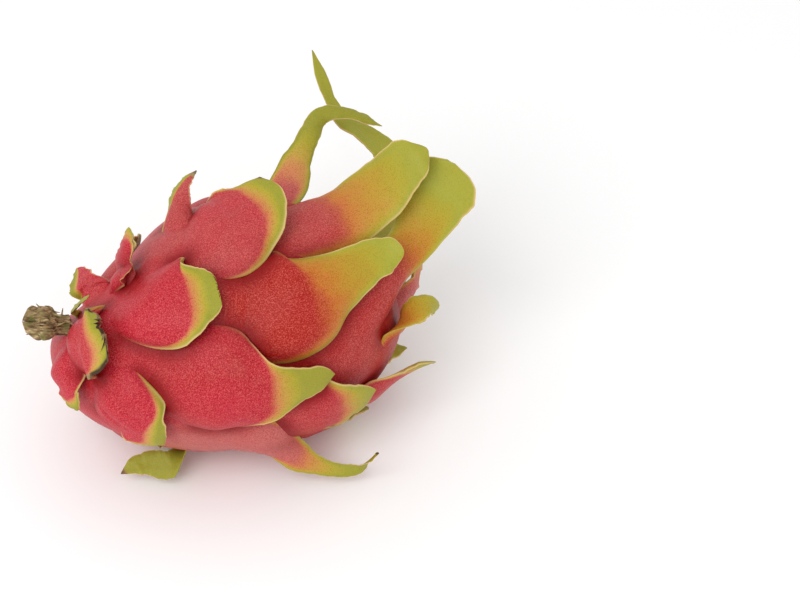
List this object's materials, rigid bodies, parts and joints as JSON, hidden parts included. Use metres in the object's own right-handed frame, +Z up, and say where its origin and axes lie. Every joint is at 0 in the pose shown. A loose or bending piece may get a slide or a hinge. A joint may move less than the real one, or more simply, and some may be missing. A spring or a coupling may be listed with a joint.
{
  "type": "dragon fruit",
  "caption": "Whole ripe dragon fruit lying on its side: oval pink body clothed in overlapping scales with green leafy tips, a dry stem stub and a withered flower scar.",
  "frame": {"origin": "centre of the small flat spot that the fruit rests on, on the surface it lies on", "axes": "+X along the fruit's long axis from the dry stem to the crown of leafy tips, +Z up, -Y towards the side that is best seen"},
  "size_m": [0.152, 0.1265, 0.0998],
  "materials": {
    "peel": "waxy deep pink-red fruit skin",
    "scale_skin": "waxy pink skin with fine pale specks, turning yellow then green at the tips",
    "leaf_green": "waxy pink base turning orange, yellow and green along a long leafy tip",
    "dried": "dry fibrous brown and olive stem and flower remains"
  },
  "bodies": {
    "root": {"fruit_body": "peel", "stem_stub": "dried", "flower_scar": "dried", "collar_sliver": "scale_skin", "collar_front": "scale_skin", "collar_low": "scale_skin", "collar_back": "scale_skin", "collar_fold": "scale_skin", "collar_crest": "scale_skin", "stem_low_front": "scale_skin", "stem_back": "scale_skin", "stem_low_back": "scale_skin", "stem_under_back": "scale_skin", "stem_under_front": "scale_skin", "shoulder_front": "scale_skin", "belly_reflexed": "scale_skin", "side_front": "scale_skin", "top_curl": "scale_skin", "top_broad": "scale_skin", "back_broad": "scale_skin", "back_low": "scale_skin", "belly_front": "scale_skin", "belly_back": "scale_skin", "middle_front": "scale_skin", "side_crown": "scale_skin", "belly_crown": "scale_skin", "crown_finger": "leaf_green", "crown_arch": "leaf_green", "crown_back": "leaf_green", "crown_long": "leaf_green", "crown_under_back": "leaf_green", "crown_under": "leaf_green", "crown_low_front": "leaf_green", "crown_broad": "leaf_green", "crown_curl": "leaf_green", "crown_strip": "leaf_green"}
  },
  "joints": []
}
